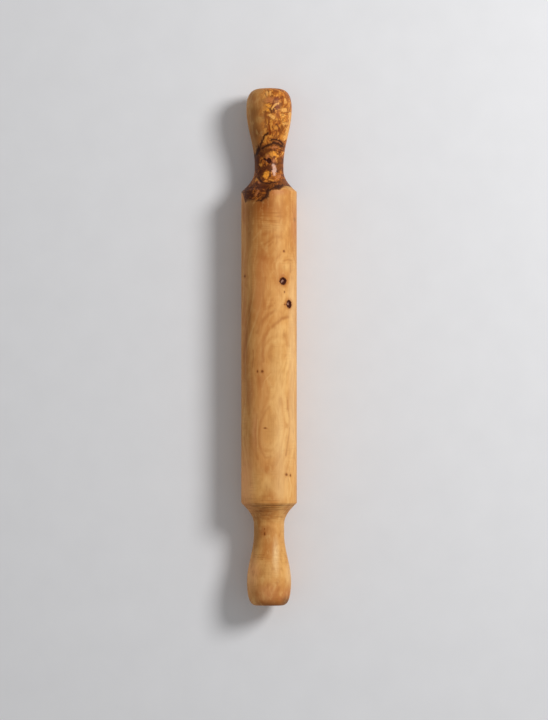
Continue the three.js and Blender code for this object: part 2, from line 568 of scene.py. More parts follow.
# Noises in the straight wood
CLOUDS = Grain(length=30, width=11, detail=3, fade=(0.34, 0.66))
RING_WANDER = Grain(length=55, width=15)
RING_SHOW = Grain(length=40, width=8, shift=4, fade=(0.36, 0.66))
RING_BENDS = Grain(length=22, width=6, shift=7)
SHAKE = Grain(length=9, width=4, shift=6)
ARC_BREAKS = Grain(length=12, width=6, shift=8, fade=(0.15, 0.5, 0.6))
MOTTLE = Grain(length=6, width=3.5, detail=3, shift=11)
RIPPLE = Grain(length=0.9, width=14, detail=1, shift=9, fade=(0.45, 0.65))
RIPPLE_SHOW = Grain(length=24, width=11, shift=2, fade=(0.46, 0.62, 0.14))
STREAK_WANDER = Grain(length=40, width=90, shift=5)
STREAK_BREAKS = Grain(length=45, width=4, shift=3, fade=(0.3, 0.6))
FIBRES = Grain(length=14, width=0.7, detail=3, roughness=0.6)
SHAKE_REACH = 2.0
RAG_SIZE = 1.4
RAG_REACH = 1.1
KNOT_RAG = 0.6  # of the raggedness of the specks

# How marks in the straight wood fade in, as the low, high and top values of a rise
BAND_FADE = (0.5, 0.72, 0.55)
DARK_RING_FADE = (0, 1, 0.34)
PALE_RING_FADE = (-0.2, -1, 0.3)
DARK_ARC_FADE = (2, 0)
FAINT_ARC_FADE = (2, 0, 0.42)
PALE_ARC_FADE = (1.8, 0.2, 0.5)
PATCH_EDGE = 1.7
MOTTLE_FADE = (120, 145, 0.08)  # along the handles, added to the least strength
MOTTLE_LEAST = 0.28
DARK_MOTTLE_FADE = (0.5, 0.75)
PALE_MOTTLE_FADE = (0.5, 0.25)
FIBRE_FADE = (0.42, 0.78, 0.2)
SPECK_HALO_FADE = (2.6, 0.6, 0.45)
SPECK_FADE = (1.3, 0.4, 0.75)
KNOT_HALO_FADE = (2, 0.9, 0.55)
KNOT_FADE = (1.2, 0.85)
PAINTED_GLINT_FADE = (0.5, 0.1, 0.7)
PAINTED_GLINT_SHIFT = 0.7


class Swell(NamedTuple):
    """A stretch of the pin where something grows and falls off again."""

    along: float
    half_length: float
    height: float


TURNS = [(-75, 75, 0.67), (-115, -150, 0.9)]  # of the ridge: from, to and by how many radians
SWELLS = [Swell(-9, 30, 6.2), Swell(-66, 23, 5.6), Swell(62, 9, 2.2)]


class Mark(NamedTuple):
    """An oval mark in the wood: a stain or a patch of painted light or shade, which has a strength and a colour,
    or a speck or chip.
    """

    along: float
    across: float
    half_length: float
    half_width: float
    strength: float = 1.0
    colour: tuple = ()


def marks(*rows):
    return [Mark(*row) for row in rows]


# Soft stains, and some patches of painted light and shade, each marked where it stands
PATCHES = marks(
    (95, 9, 24, 11, 0.35, TAN), (-14, 6, 24, 6, 0.45, PALE_TAN), (-64, 1, 17, 6.5, 0.45, PALE_TAN),
    (-66, -11.5, 15, 2.2, 0.35, ROSE_PALE), (118.8, 9, 2.4, 6, 0.55, ROSE_BROWN),
    (118.5, 5.5, 2.6, 4.5, 0.25, ROSE_PALE), (115.5, -20.4, 4, 1.4, 0.5, ROSE_PALE),
    (108, -4.5, 9, 8, 0.8, DEEP_ORANGE), (109.5, -5, 5, 7, 0.5, RUST_BROWN),
    (113, -5, 2.5, 4.5, 0.5, RUST_BROWN), (116.5, 2.2, 4, 3.5, 0.5, DEEP_ORANGE),
    (111, 19.5, 10, 3, 0.45, TAN), (91, -6.4, 1.4, 1.8, 0.45, DEEP_ORANGE),
    (85.5, -4, 1.6, 1.8, 0.4, DEEP_ORANGE), (67, -4.2, 2.2, 2.2, 0.45, DEEP_ORANGE),
    (104, -14, 11, 6, 0.6, WARM_BROWN), (91, 3, 3.6, 9, 0.35, PALE_HONEY),
    (104, 13, 8, 4, 0.3, ORANGE_BROWN), (88.5, -14.5, 8, 2.5, 0.45, WARM_BROWN),
    (94, 19.6, 15, 3, 0.55, ROSE_BROWN), (98, 19.8, 1.6, 0.9, 0.5, WARM_BROWN),
    (86, -6, 26, 10, 0.5, ORANGE_BROWN), (68, -5, 9, 6, 0.5, ORANGE_BROWN),
    (48, -5, 18, 5, 0.25, ORANGE_BROWN), (61, 13, 3.5, 2.6, 0.6, PALE_HONEY),
    (54.5, 11, 1.4, 1.6, 0.5, ROSE_BROWN), (38, -9, 14, 3.5, 0.4, ROSE_BROWN),
    (-18.5, 3, 6, 3.6, 0.4, PALE_HONEY), (-26, -6.5, 5, 3, 0.45, ORANGE_BROWN),
    (-36, -14, 12, 3, 0.4, ROSE_BROWN), (-95.5, -2, 3.5, 6, 0.4, ORANGE_BROWN),
    # The first patch here is painted light: it makes the left edge of the lower barrel paler, as if light bounced
    # onto it.
    (-106, -18, 25, 6, 0.75, ROSE_LIGHT), (-102, -10.5, 9, 3, 0.3, PALE_HONEY),
    (-106.5, 0.5, 5, 6, 0.4, PALE_HONEY), (-116, -1.5, 1.6, 5, 0.25, ORANGE_BROWN),
    (-124, -6, 7, 16, 0.45, ORANGE_BROWN), (-130, -3, 5, 9, 0.45, ORANGE_BROWN),
    (-145, -10.5, 13, 3.6, 0.35, WARM_BROWN), (-142.5, -4, 4.5, 4, 0.55, DEEP_ORANGE),
    (-143, 1.5, 12, 5, 0.3, ORANGE_BROWN), (-139, 10.5, 11, 3, 0.5, PALE_HONEY),
    # The second patch here is a painted highlight: a pale streak down the plain handle's neck.
    (-155, -2.5, 10, 4, 0.4, ORANGE_BROWN), (-161, 5.4, 12, 2.2, 0.65, PALE_YELLOW),
    (-162, 10.5, 12, 3.5, 0.5, PALE_TAN), (-175, 15.5, 8, 2.5, 0.4, PALE_YELLOW),
    (-173, 1.5, 8, 7, 0.45, PALE_HONEY), (-174.5, -6.5, 3, 4, 0.4, ORANGE_BROWN),
    # Both patches here are painted light: they make the left side of the plain knob paler, as if light bounced
    # onto it.
    (-178, -13, 3, 3, 0.45, PALE_TAN), (-174, -13, 12, 5, 0.7, ROSE_LIGHT),
    # The first patch here is painted shade: it makes the end of the plain knob darker where it turns away from the
    # light.
    (-199, 2, 6, 14, 0.55, ORANGE_BROWN), (-189.5, -8.5, 6.5, 5, 0.35, ORANGE_BROWN),
    (-192, 0, 8, 12, 0.5, DEEP_ORANGE), (-190, -2, 8, 10, 0.3, ROSE_LIGHT),
    # The second patch here is painted shade too: it darkens the end of the plain knob further.
    (-191.5, -8, 2.6, 3, 0.35, ORANGE_BROWN), (-200, 1, 4, 12, 0.6, RUST_BROWN),
    (-197, -5, 1.6, 3, 0.4, ORANGE_BROWN), (-194.5, 9.5, 1.8, 2, 0.6, ROSE_BROWN),
    (-191, 14, 5, 3.4, 0.6, ROSE_BROWN), (-197, 13.5, 4, 3.6, 0.7, UMBER),
    (166, -11, 26, 6, 0.7, RUST_BROWN), (172, -4.5, 22, 5, 0.5, ORANGE_BROWN),
    (165, -7.5, 4, 4, 0.55, RUST_BROWN), (181, -10.5, 3.4, 3, 0.35, RUST_BROWN),
    (187.5, -15, 3.5, 3, 0.5, PALE_TAN), (175, -7, 2.2, 3.6, 0.45, PALE_TAN),
    (189, -12, 4, 3.6, 0.4, ROSE_BROWN),
)

# Where the fine ripples across the grain show most
RIPPLED = marks(
    (98.5, -2, 7, 11, 0.75, RING_BROWN),
    (-126, -2, 8, 18, 0.5, RUST_BROWN),
    (-163, 4, 4, 6, 0.3, RING_BROWN),
)


class Line(NamedTuple):
    """A line in the wood, through (along, across) places."""

    half_width: float
    places: list


def strokes(*rows):
    """A line for each row, which holds its half width and then its places."""
    return [Line(half_width, places) for half_width, *places in rows]


DARK_ARCS = strokes(
    (1.2, (10, -9.2), (15, -6.8), (20, -4.4), (24.5, 0.2), (27, 5)),
    (1.1, (-12, -4.6), (2, -4.8), (8, -2.8), (12, 0.2), (16, 4), (21, 10), (22.5, 15)),
    (0.5, (-40, 13.8), (-48, 14.2), (-54, 15.3)),
    (0.5, (-63, 16), (-73, 14.6), (-84, 13)),
    (0.4, (-3, -12), (-16, -12.6)),
    (0.5, (66, 16.6), (57, 16.6)),
    (0.4, (112, 18), (103, 18.2)),
    (0.6, (-63.2, -3.6), (-63.4, -2.2), (-64.5, -0.4)),
    (0.3, (-160.6, -11), (-160.9, -4)),
    (0.3, (-162.4, -12), (-162.8, -2)),
    (0.3, (-164.2, -11), (-164.4, -5)),
)
FAINT_ARCS = strokes(
    (1.3, (-0.5, 2.6), (-4.5, -0.2), (-8, 0.2), (-11.3, 3)),
    (1.0, (-47, 0.3), (-51, -3.4), (-57, -5.8), (-66, -7.6), (-76, -7.8)),
    (1.0, (-76, -7.8), (-82, -6), (-86, -2.5), (-85.5, 1)),
    (0.8, (-53, -9.6), (-63, -10.4), (-80, -10.2), (-87, -8.6)),
    (0.8, (77.5, -4.5), (81, 1.5)),
    (0.7, (65, 11), (66.6, 14), (66, 16.6)),
    (0.8, (74.5, -2.2), (79.5, 2.6)),
    (1.2, (82, 1.2), (84.5, 4.6), (84, 8)),
    (1.2, (86.5, -2), (88.6, 2.5), (91, 5.5)),
    (1.0, (52, -3.4), (38, -4.8), (28, -3), (31, 2)),
    (1.0, (-188, -3.4), (-183, 0.4)),
    (1.1, (-194, -1.8), (-187, 2.6), (-181, 7)),
    (1.1, (-194, 3.6), (-186, 7.6)),
)
PALE_ARCS = strokes(
    (0.7, (82, -12), (89, -6)),
    (1.3, (-2, 15.6), (-25, 13), (-36, 10.8), (-47, 12), (-58, 14.4)),
    (0.8, (-64, 13.2), (-75, 11.4), (-82, 10.2)),
    (0.5, (-22, 1.2), (-27, -3.4), (-33, -4.6)),
    (0.6, (-57, -8.8), (-68, -9), (-78, -9)),
    (0.6, (-102, 15.2), (-108, 17), (-116, 16)),
    (0.9, (-190, 2.2), (-184, 5)),
)


class Strip(NamedTuple):
    """A strip along the barrel that fades out towards both ends."""

    across: float
    half_width: float
    strength: float
    colour: tuple
    low_fade: tuple
    high_fade: tuple


STRIPS = [
    Strip(-6, 8, 0.4, ROSE_TAN, (-112, -85), (80, 60)),
    Strip(-19, 2.4, 0.4, ROSE_BROWN, (-90, 20), (122, 118)),
    Strip(17.8, 2.8, 0.36, PALE_YELLOW, (-105, -55), (80, 35)),
    Strip(9, 5.5, 0.28, PALE_YELLOW, (-124, -112), (10, -95)),
]
STREAK = Strip(-14.4, 1.7, 0.5, STREAK_BROWN, (-100, 25), (122, 112))
STREAK_BEND = Swell(-10.0, 28.0, -3.6)
STREAK_SWAY = 5.0

# Pin knots
SPECKS = marks(
    (72.9, 11.5, 0.9, 0.8), (41.4, 11.9, 0.8, 0.5), (32, 12.2, 0.7, 0.6), (54, -18.7, 1, 0.7),
    (-19.7, -8.8, 1, 0.6), (-19.8, -5.2, 1, 1.1), (-99, 13.5, 1.2, 1), (-99.4, 16.5, 1.1, 0.5),
    (-63.3, -2.9, 0.5, 1), (-140.8, -3.4, 0.5, 0.35), (-144.6, -3.4, 1.2, 0.6),
)


def spot_reach(look, place, spot):
    """How far a place is from a spot's middle, where 1 is the spot's edge."""
    long_share = 1 / spot.half_length
    wide_share = 1 / spot.half_width
    middle = (-spot.along * long_share, -spot.across * wide_share, 0)
    local = look.vector_math("MULTIPLY_ADD", place, (long_share, wide_share, 1), middle)
    return look.vector_math("LENGTH", local, output="Value")


def patch_share(look, place, patch):
    """How strongly a patch shows at a place."""
    return spot_reach(look, place, patch).rise(PATCH_EDGE, 0.0, patch.strength)


def least(fields):
    return reduce(Field.smaller, fields)


def nearest_spot(look, place, spots):
    """How far a place is from the nearest of the spots."""
    return least(spot_reach(look, place, spot) for spot in spots)


def segment_distance(look, place, start, end):
    run = Vector((*end, 0)) - Vector((*start, 0))
    off = look.vector_math("SUBTRACT", place, (*start, 0))
    share = look.node("ShaderNodeClamp", {"Value": look.dot(off, run / run.length_squared)})
    return look.vector_math("DISTANCE", off, look.scaled(run, share), output="Value")


def line_reach(look, place, line):
    """How far a place is from a line, where 1 is the line's edge."""
    pairs = zip(line.places, line.places[1:])
    return least(segment_distance(look, place, *pair) for pair in pairs) / line.half_width


def nearest_line(look, place, lines):
    """How far a place is from the nearest of the lines."""
    return least([line_reach(look, place, line) for line in lines])


def swelling(where, swell):
    return where.along.hump(swell.along, swell.half_length) * swell.height


def growth(look, where):
    """How far out in the tree a point grew, and from 0 to 1 how near the ridge it lies."""
    turns = [where.along.rise(*turn) for turn in TURNS]
    turn = turns[0] + turns[1] + RIDGE_START
    sine = turn.math("SINE")
    cosine = turn.math("COSINE")
    side = where.across + sine * PITH_DEPTH
    rise = where.up + cosine * PITH_DEPTH
    out = (side * side + rise * rise).math("SQRT")
    for swell in SWELLS:
        out = out + swelling(where, swell)
    for knot in KNOTS:
        near = spot_reach(look, where.flat, knot).hump(0, KNOT_SWELL_REACH)
        out = out + near * KNOT_SWELL_HEIGHT
    ridge = (where.across * cosine - where.up * sine).hump(0, RIDGE_HALF_WIDTH)
    return out + look.grain(where, RING_WANDER).centred() * RING_WANDER_REACH, ridge


def strip_share(strip, where, across):
    """How strongly a strip shows, at a place across the pin that may be bent to follow the grain."""
    fade = where.along.rise(*strip.low_fade) * where.along.rise(*strip.high_fade)
    return across.hump(strip.across, strip.half_width) * fade * where.front * strip.strength


def ringed_wood(look, where):
    """Cloudy honey-coloured wood with its growth rings."""
    ring, ridge = growth(look, where)
    ringed = where.along.rise(RINGS_FADE_TO, RINGS_FADE_FROM, 1 - RINGS_LEFT) + RINGS_LEFT
    colour = look.mix(look.grain(where, CLOUDS), HONEY, TAN)
    band = look.rings(ring, BAND_WIDTH)
    colour = look.mix(band.rise(*BAND_FADE) * ringed, colour, PALE_HONEY)

    shown = look.grain(where, RING_SHOW)
    vivid = shown * (ridge * (1 - RINGS_OFF_RIDGE) + RINGS_OFF_RIDGE) * ringed
    phase = ring / RING_WIDTH + look.grain(where, RING_BENDS) * RING_BEND_REACH
    wave = (phase * math.tau).math("SINE")
    colour = look.mix(wave.rise(*DARK_RING_FADE) * vivid, colour, RING_BROWN)
    return look.mix(wave.rise(*PALE_RING_FADE) * vivid, colour, PALE_HONEY)


def with_arcs(look, where, shaken, colour):
    """Adds the single lines that stand out from the rings."""
    broken = look.grain(where, ARC_BREAKS)
    dark = nearest_line(look, shaken, DARK_ARCS).rise(*DARK_ARC_FADE) * broken
    colour = look.mix(dark, colour, RING_BROWN)
    faint = nearest_line(look, shaken, FAINT_ARCS).rise(*FAINT_ARC_FADE)
    colour = look.mix(faint, colour, RING_BROWN)
    pale = nearest_line(look, shaken, PALE_ARCS).rise(*PALE_ARC_FADE)
    return look.mix(pale, colour, PALE_HONEY)


def with_stains_and_painted_light(look, where, shaken, colour):
    """Adds the patches, which are stains or painted light and shade, the mottle and the ripples across the grain.
    """
    for patch in PATCHES:
        colour = look.mix(patch_share(look, shaken, patch), colour, patch.colour)
    mottle = look.grain(where, MOTTLE)
    lively = where.along.math("ABSOLUTE").rise(*MOTTLE_FADE) + MOTTLE_LEAST
    colour = look.mix(mottle.rise(*DARK_MOTTLE_FADE) * lively, colour, RING_BROWN)
    colour = look.mix(mottle.rise(*PALE_MOTTLE_FADE) * lively, colour, PALE_HONEY)

    ripple = look.grain(where, RIPPLE)
    shown = look.grain(where, RIPPLE_SHOW)
    colour = look.mix(ripple * shown, colour, RING_BROWN)
    for patch in RIPPLED:
        colour = look.mix(ripple * patch_share(look, shaken, patch), colour, patch.colour)
    return colour


def with_strips(look, where, colour):
    """Adds the strips along the barrel, and the dark streak, which bends and sways."""
    for strip in STRIPS:
        colour = look.mix(strip_share(strip, where, where.across), colour, strip.colour)
    bend = swelling(where, STREAK_BEND)
    sway = look.grain(where, STREAK_WANDER).centred() * STREAK_SWAY
    broken = look.grain(where, STREAK_BREAKS)
    streak = strip_share(STREAK, where, where.across - bend - sway)
    return look.mix(streak * broken, colour, STREAK.colour)


def plain_wood(look, where):
    """The colour of the straight wood, and the fibres in it."""
    colour = ringed_wood(look, where)
    shake = look.grain(where, SHAKE).centred()
    shift = look.vector(shake * SHAKE_REACH, shake * SHAKE_REACH, 0.0)
    shaken = look.vector_math("ADD", where.flat, shift)
    colour = with_arcs(look, where, shaken, colour)
    colour = with_stains_and_painted_light(look, where, shaken, colour)
    colour = with_strips(look, where, colour)
    fibre = look.grain(where, FIBRES)
    return look.mix(fibre.rise(*FIBRE_FADE), colour, RING_BROWN), fibre


def knotted(look, where, colour):
    """Adds the knots and specks to a colour, with a painted highlight in each knot, and says where the knots are.
    """
    ragged = look.noise(where.point, RAG_SIZE, detail=2).centred() * RAG_REACH
    reach = nearest_spot(look, where.flat, SPECKS) + ragged
    colour = look.mix(reach.rise(*SPECK_HALO_FADE), colour, ORANGE_BROWN)
    colour = look.mix(reach.rise(*SPECK_FADE), colour, SPECK_BROWN)
    reach = nearest_spot(look, where.flat, KNOTS) + ragged * KNOT_RAG
    colour = look.mix(reach.rise(*KNOT_HALO_FADE), colour, ORANGE_BROWN)
    inside = reach.rise(*KNOT_FADE)
    colour = look.mix(inside, colour, KNOT_DARK)
    # Paints a small highlight in each knot, a little to the left of its middle
    glints = [knot._replace(across=knot.across - PAINTED_GLINT_SHIFT) for knot in KNOTS]
    glint = nearest_spot(look, where.flat, glints) + ragged
    return look.mix(glint.rise(*PAINTED_GLINT_FADE), colour, KNOT_PAINTED_GLINT), inside


# Burl

BURL_BLACK = srgb(48, 18, 8)
BURL_DARK = srgb(84, 38, 14)
BURL_RUST = srgb(122, 48, 2)
BURL_BROWN = srgb(130, 70, 22)
BURL_ORANGE = srgb(176, 98, 32)
BURL_AMBER = srgb(216, 140, 54)
BURL_GOLD = srgb(246, 160, 54)
BURL_PALE = srgb(244, 176, 90)
BURL_ROSE = srgb(190, 114, 62)
# The colour of a painted highlight on the burl's neck
BURL_PAINTED_HIGHLIGHT = srgb(232, 186, 162)

# Patches of the burl whose grain runs its own way, so that each shows in one colour
CHIPS = {
    BURL_DARK: marks(
        (183, 2.2, 1.6, 1.4), (151, -6, 3.2, 3.6), (150.6, -2.2, 2.4, 2.6), (181, -3.4, 0.9, 1.2),
        (181.4, 2.2, 1, 1.4), (183.2, 5.4, 0.7, 0.7), (168.4, 2.6, 0.6, 0.6),
        (168.4, 7.2, 0.7, 0.6), (149.6, 8.4, 0.9, 0.9), (144, -9.5, 7.5, 2.4),
        (138.2, -0.2, 2.4, 1.8), (147.4, -4.4, 2.6, 1.6), (141, 6.4, 1.6, 1.2),
        (131.5, -7.2, 4, 1.8), (123.6, -5, 2.6, 4.8),
    ),
    BURL_RUST: marks(
        (190.8, 6.6, 1.6, 2), (187.2, 3, 0.8, 1.4), (184.6, 7, 0.9, 1.6), (180.4, -2, 1, 1.8),
        (166.8, 7.4, 1.4, 1.2),
    ),
    BURL_BROWN: marks(
        (186.6, 9.2, 1.6, 1.4), (168.4, 10.2, 2.2, 1.6), (126.4, 10.8, 2, 2.4),
        (157.6, 6.6, 1.6, 3.2), (138, 7.8, 2.6, 2), (143.4, 8, 2.2, 2.2),
    ),
    BURL_ROSE: marks(
        (190, -0.6, 2.2, 3.6), (157.2, 7.2, 0.6, 2.2), (153.2, 3.8, 0.8, 2.8),
        (146.6, -1.2, 1.5, 1.6), (143.4, 4, 1.4, 1.6), (131.6, 8.2, 1.8, 1.8),
        (126.6, -7.6, 1.6, 1.2),
    ),
    BURL_AMBER: marks(
        (195.2, 8.2, 1.8, 1.2), (186.5, 15.2, 2.4, 1.2), (174.6, 6.4, 1.1, 1.3),
        (168.5, 5.2, 1.5, 1.2), (161.6, 1.6, 1.2, 1.7), (161.4, 11, 2.6, 2.6), (148.4, 2.6, 1.9, 2),
        (140.6, -6.4, 1.2, 0.8), (128, 1.4, 0.7, 2.4),
    ),
    BURL_GOLD: marks(
        (186, -0.8, 1.1, 2.8), (182.8, -1.2, 1, 1.4), (148.2, 4.6, 1.5, 1.4), (147.2, 7, 1, 0.9),
        (132.4, -2, 2.3, 2.2),
    ),
    BURL_PALE: marks(
        (189, 12.6, 2.4, 0.9), (182.2, 11.6, 1.7, 2.7), (172.4, 12.2, 1.2, 1.7),
        (195, -1.6, 2, 0.8), (195.2, 1.2, 1.8, 0.8),
    ),
}

# Longer patches of the same colours
STREAKS = {
    BURL_DARK: strokes((0.8, (176.2, -3.7), (179.8, -2.7))),
    BURL_RUST: strokes(
        (1, (179, -2.8), (173, -2.5), (167.5, -2.1)),
        (0.9, (176.5, -0.7), (169, 0.3), (164, 0.8)),
    ),
    BURL_BROWN: strokes((0.7, (165, 8.6), (171, 9.6))),
    BURL_ROSE: strokes(
        (0.8, (127.3, 3.6), (130.7, 7.6)),
        (0.8, (116.4, -9.8), (119.4, -8.6)),
    ),
    BURL_AMBER: strokes(
        (0.5, (174.2, -1.5), (169.9, -1.2)),
        (0.8, (174.5, 1.2), (167.5, 1.8)),
        (0.9, (162.6, -3.8), (167, -3)),
        (0.8, (157.4, -3.6), (162, -2.2)),
    ),
    BURL_GOLD: strokes((0.7, (150.2, 3.4), (147, 5.4))),
    BURL_PALE: strokes(
        (1.3, (178.4, 1), (176.4, 4)),
        (0.65, (183.8, 3), (185.8, 5), (187.8, 7.4)),
        (1.2, (160.2, 11.8), (163.2, 13.6), (168, 14.6), (173.7, 16), (180, 16.6)),
    ),
}
# Where the painted highlight runs: a pale streak down the burl's neck
PAINTED_HIGHLIGHT_STREAKS = strokes((1.1, (139.8, 3.6), (132.8, 4.3)))
HOLE_CORNERS = marks((143.4, 0, 1.7, 1.9), (144.4, -2.4, 0.7, 1.6))
VEINS = strokes(
    (0.35, (137, 1.3), (134, 1), (130.5, 0.6)),
    (0.65, (164.6, -1.2), (163, -3.2), (160.5, -4.7), (157.5, -5.4), (155.5, -7.2)),
    (1.1, (155.5, -7.2), (152, -8.2), (149.5, -9.4), (147.5, -11.2)),
    (0.6, (158.6, 1), (159.3, 4.5), (158.6, 8), (157.2, 10.2)),
    (0.9, (152.6, -5.2), (153.6, -3), (155.2, 0.4), (156.4, 4), (155.6, 8), (155, 11.5)),
    (0.8, (130.8, -7.4), (127.2, -5.6), (125.6, -3.6), (124.8, 0.6), (126.6, 5)),
    (0.9, (124.2, 10.5), (122.6, 7), (121.8, 3.5), (120.4, 1.2), (118.8, -0.6), (116.4, -1.2)),
    (1.1, (116.4, -1.2), (113.8, -2.6), (112.4, -5.4)),
    (0.5, (112.4, -5.4), (112, -9)),
)

# Where the burl begins on the barrel's shoulder, lower in a dip on the left and higher on the right
BURL_START = 120.0
DIP_DEPTH = 8.0
DIP_LEFT_FADE = (-21, -18)
DIP_RIGHT_FADE = (1, -4.5)
LIFT_HEIGHT = 4.0
LIFT_FADE = (8, 12)
EDGE_WOBBLE_SIZE = 5.0
EDGE_WOBBLE = 3.5
EDGE_BLUR = 0.7
EDGE_BLUR_FADE = (-6, -12, 1.4)
EDGE_HALF_WIDTH = 0.8
EDGE_LINE_FADE = (15, 11, 0.7)

# The slanting edge of the straight wood on the left of the knob
KNOB_EDGE_START = 149.0
KNOB_EDGE_LEFT = 10.8  # how far left of the middle it is there
KNOB_EDGE_SLOPE = 0.68
KNOB_EDGE_END = -4.5
KNOB_EDGE_WOBBLE = 7.0
KNOB_EDGE_BLUR = 0.8
KNOB_EDGE_BLUR_FADE = (158, 172, 6)
KNOB_PLAIN_FADE = (146, 150)

# The figure of the burl
SWIRL_SIZE = 7.0
SWIRL_REACH = 12.0
FLOW_STRETCH = (0.6, 1, 1)
FLOW_SIZE = 4.6
FLOW_ROUGHNESS = 0.68
CELL_SIZE = 3.0
STRIPE_RATE = 9.0
FLECK_SIZE = 1.2

# What each part of the figure adds to the burl's tone, from 0 for dark to 1 for pale
MIDDLE_TONE = 0.57
FLOW_TONE = 1.25
CELL_TONE = 0.4
STRIPE_TONE = 0.13
FLECK_TONE = 0.5
NECK_ALONG = 140.0
NECK_HALF_LENGTH = 16.0
NECK_FLOW_TONE = 0.5
NECK_DARKER = 0.15
SHOULDER_DARKER_FADE = (132, 120, 0.36)
KNOB_FADE = (154, 166)
KNOB_CALM = 0.25
KNOB_LIGHT = Swell(172.0, 12.0, 0.06)
BURL_STOPS = [
    (0.1, BURL_DARK),
    (0.34, BURL_BROWN),
    (0.56, BURL_ORANGE),
    (0.8, BURL_AMBER),
    (0.97, BURL_PALE),
]
BORDER_FADE = (0.14, 0)
BORDER_SHOW_SIZE = 7.0
BORDER_SHOW_FADE = (0.4, 0.6, 0.7)

# How the single marks in the burl are shaken, and how they fade in
CURL_SHIFT = 2.6
CELL_SHIFT = 1.4
BURL_RAG = 1.4
HOLE_RAG = 0.6  # of the raggedness of the chips
VEIN_RAG = 0.5
CHIP_RIM_FADE = (1.8, 1, 0.3)
CHIP_FADE = (1.4, 0.6)
CHIP_STRENGTH = 0.76
CHIP_STRIPES = 0.12
PAINTED_HIGHLIGHT_FADE = (1.7, 0.4, 0.7)
HOLE_FADE = (1.3, 0.8)
VEIN_HALO_FADE = (2.6, 1, 0.6)
VEIN_FADE = (1.5, 0.4, 0.85)


def burl_share(look, where):
    """1 in the burl and 0 in the straight wood, and how strongly its dark edge shows round the sides."""
    wobble = look.noise(where.point, EDGE_WOBBLE_SIZE, detail=3).centred()
    dip = where.across.rise(*DIP_LEFT_FADE) * where.across.rise(*DIP_RIGHT_FADE) * where.front
    lift = where.across.rise(*LIFT_FADE) * where.front
    start = dip * -DIP_DEPTH + lift * LIFT_HEIGHT + wobble * EDGE_WOBBLE + BURL_START
    inwards = where.along - start
    blur = where.across.rise(*EDGE_BLUR_FADE) * where.front + EDGE_BLUR
    burl = (inwards / blur).rise(-1, 1)
    edge_line = inwards.hump(0, EDGE_HALF_WIDTH) * where.up.rise(*EDGE_LINE_FADE)

    slant = (where.along - KNOB_EDGE_START) * KNOB_EDGE_SLOPE - KNOB_EDGE_LEFT
    edge = where.across - slant.smaller(KNOB_EDGE_END) + wobble * KNOB_EDGE_WOBBLE
    soft = where.along.rise(*KNOB_EDGE_BLUR_FADE) + KNOB_EDGE_BLUR
    plain = (edge / soft).rise(1, -1) * where.along.rise(*KNOB_PLAIN_FADE)
    return burl * (plain * -1 + 1), edge_line


class Figure(NamedTuple):
    """The fields that the burl's figure is made from."""

    curl: list
    drawn_out: Field  # a swirled place, with its marks drawn out along the pin
    flow: Field
    ways: list  # the way that the grain runs in each cell
    stripes: Field


def burl_figure(look, where):
    swirl = look.noise(where.point, SWIRL_SIZE, detail=3, output="Color")
    curl = [part.centred() for part in look.parts("ShaderNodeSeparateColor", swirl)]
    swirled = look.vector_math("ADD", where.point, look.scaled(look.vector(*curl), SWIRL_REACH))
    drawn_out = look.moved(swirled, (0, 0, 0), FLOW_STRETCH)
    flow = look.noise(drawn_out, FLOW_SIZE, detail=4, roughness=FLOW_ROUGHNESS)
    cell = look.cells(drawn_out, CELL_SIZE, "F1", output="Color")
    ways = [part.centred() for part in look.parts("ShaderNodeSeparateColor", cell)]
    slanted = where.along * ways[0] + where.across * ways[1] + where.up * ways[2]
    stripes = (slanted * STRIPE_RATE).math("SINE")
    return Figure(curl, drawn_out, flow, ways, stripes)


def burl_ground(look, where, figure):
    """The colour of the burl before its single marks."""
    neck = where.along.hump(NECK_ALONG, NECK_HALF_LENGTH)
    darker = neck * NECK_DARKER + where.along.rise(*SHOULDER_DARKER_FADE)
    calm = where.along.rise(*KNOB_FADE) * -KNOB_CALM + 1
    lively = neck * NECK_FLOW_TONE + FLOW_TONE
    flecks = look.noise(figure.drawn_out, FLECK_SIZE, detail=2).centred()
    tone = figure.flow.centred() * lively + figure.ways[0] * CELL_TONE
    tone = tone + figure.stripes * STRIPE_TONE + flecks * FLECK_TONE
    tone = tone * calm + swelling(where, KNOB_LIGHT) - darker + MIDDLE_TONE
    colour = look.ramp(tone, BURL_STOPS)
    border = look.cells(figure.drawn_out, CELL_SIZE, "DISTANCE_TO_EDGE").rise(*BORDER_FADE)
    drawn = look.noise(where.point, BORDER_SHOW_SIZE, detail=2).rise(*BORDER_SHOW_FADE)
    return look.mix(border * drawn * calm, colour, BURL_DARK)


def burl_wood(look, where):
    """The colour of the burl, with a painted highlight on its neck, and how far a point is from a dark vein, where
    1 is the vein's edge.
    """
    figure = burl_figure(look, where)
    colour = burl_ground(look, where, figure)
    shift = [figure.curl[axis] * CURL_SHIFT + figure.ways[axis] * CELL_SHIFT for axis in (0, 1)]
    shaken = look.vector_math("ADD", where.flat, look.vector(*shift, 0.0))
    ragged = figure.flow.centred() * BURL_RAG
    for tint, chips in CHIPS.items():
        reach = nearest_spot(look, shaken, chips)
        reach = reach.smaller(nearest_line(look, shaken, STREAKS[tint])) + ragged
        colour = look.mix(reach.rise(*CHIP_RIM_FADE), colour, BURL_DARK)
        shown = reach.rise(*CHIP_FADE) * (figure.stripes * CHIP_STRIPES + CHIP_STRENGTH)
        colour = look.mix(shown, colour, tint)
    # Paints the highlight streak on the neck
    painted_highlight = nearest_line(look, shaken, PAINTED_HIGHLIGHT_STREAKS) + ragged
    colour = look.mix(painted_highlight.rise(*PAINTED_HIGHLIGHT_FADE), colour, BURL_PAINTED_HIGHLIGHT)
    hole = nearest_spot(look, shaken, HOLE_CORNERS) + ragged * HOLE_RAG
    colour = look.mix(hole.rise(*HOLE_FADE), colour, KNOT_DARK)
    vein = nearest_line(look, shaken, VEINS) + ragged * VEIN_RAG
    return colour, vein


# Whole materials

